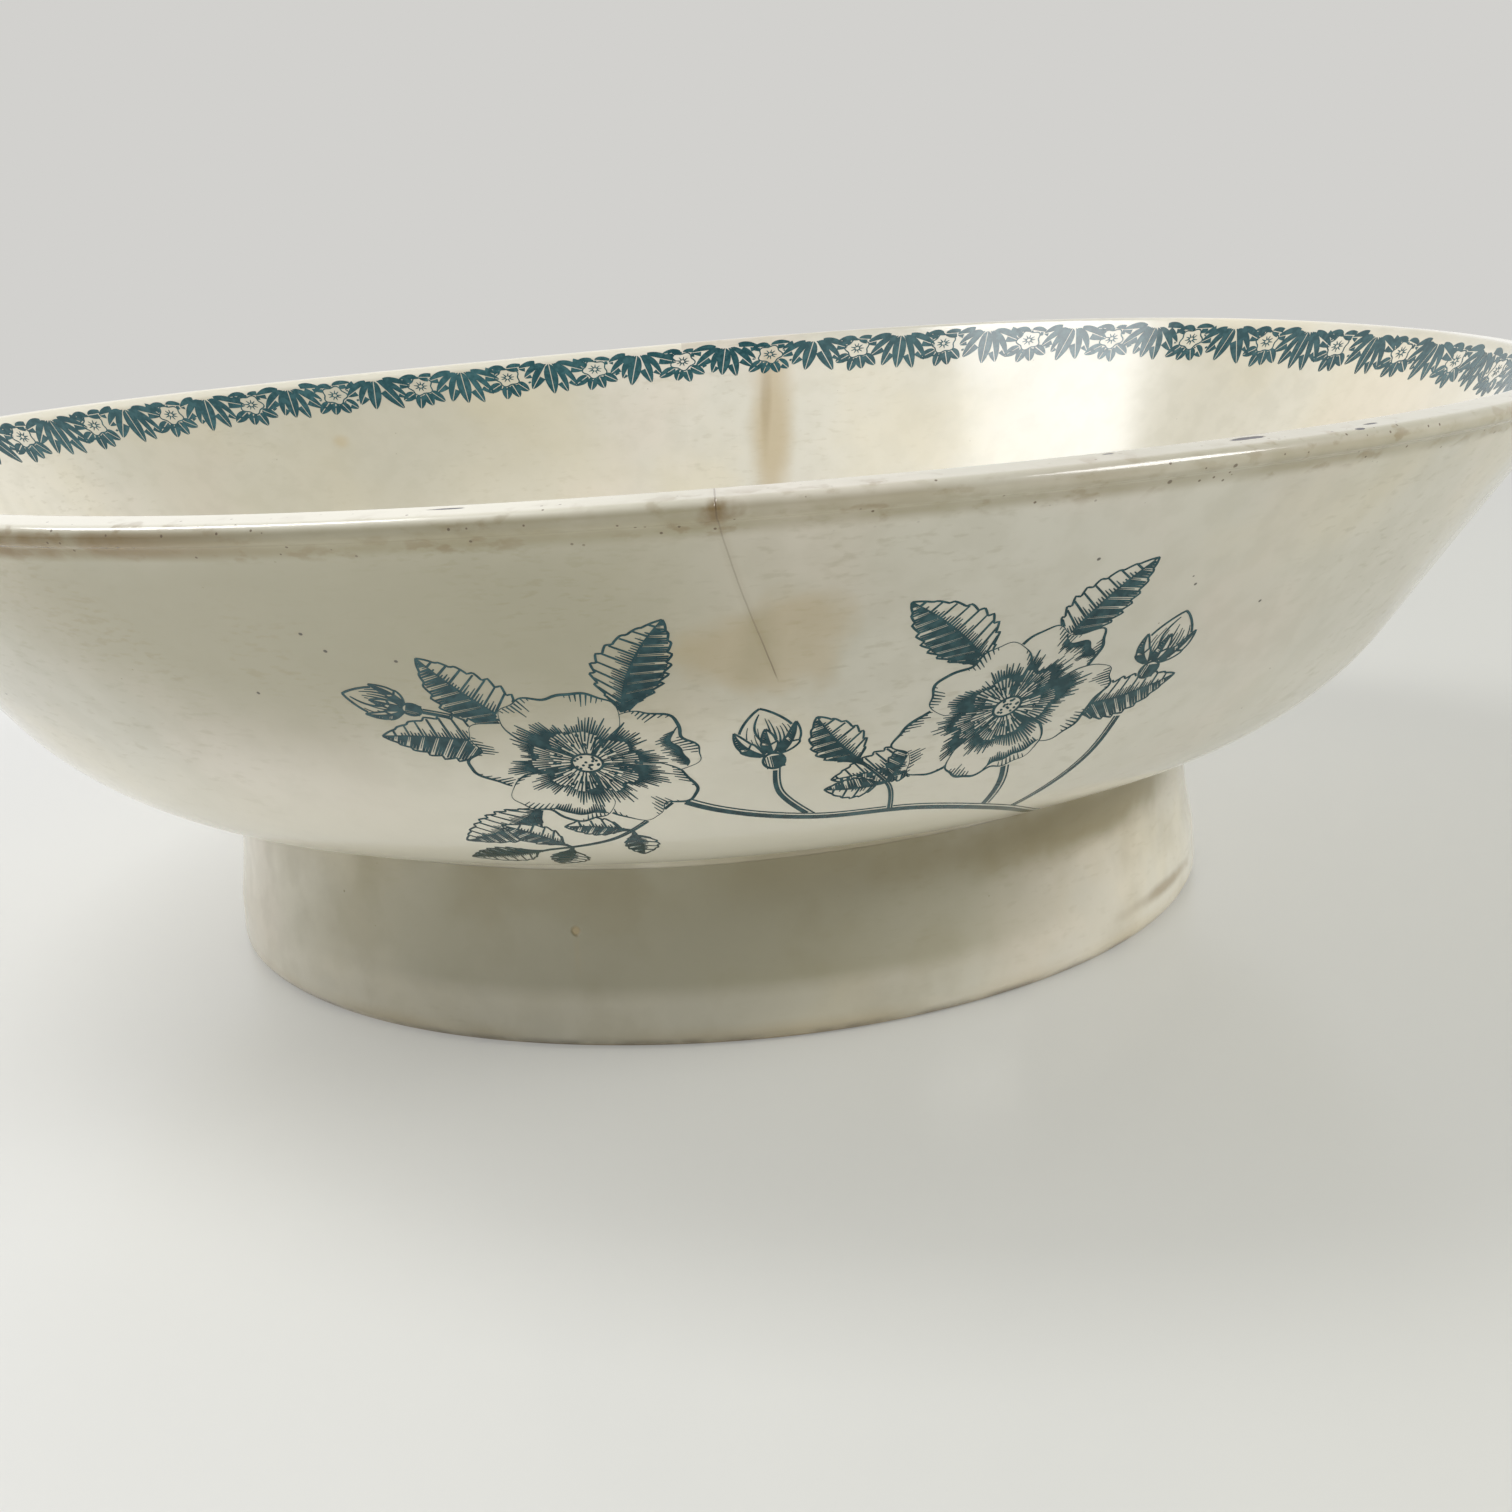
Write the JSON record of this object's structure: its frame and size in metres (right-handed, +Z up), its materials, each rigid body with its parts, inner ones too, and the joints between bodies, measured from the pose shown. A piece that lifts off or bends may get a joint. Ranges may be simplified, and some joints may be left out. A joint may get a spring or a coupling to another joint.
{
  "type": "footed serving bowl",
  "caption": "Round ceramic serving bowl: a flaring basin with a beaded rim, luted onto a hollow ring foot.",
  "frame": {"origin": "centre of the foot's standing ring, on the surface the bowl stands on", "axes": "+Z up along the bowl's axis of revolution; the printed spray faces -Y"},
  "size_m": [0.241, 0.241, 0.072],
  "materials": {
    "glazed_body": "old cream glaze, glossy, finely crazed and speckled, with a teal transfer print",
    "glazed_foot": "old cream glaze, glossy, worn along the standing ring",
    "glazed_slip": "cream glaze pooled and darkened in the seam"
  },
  "bodies": {
    "root": {"basin": "glazed_body", "foot": "glazed_foot", "luting_slip": "glazed_slip"}
  },
  "joints": []
}
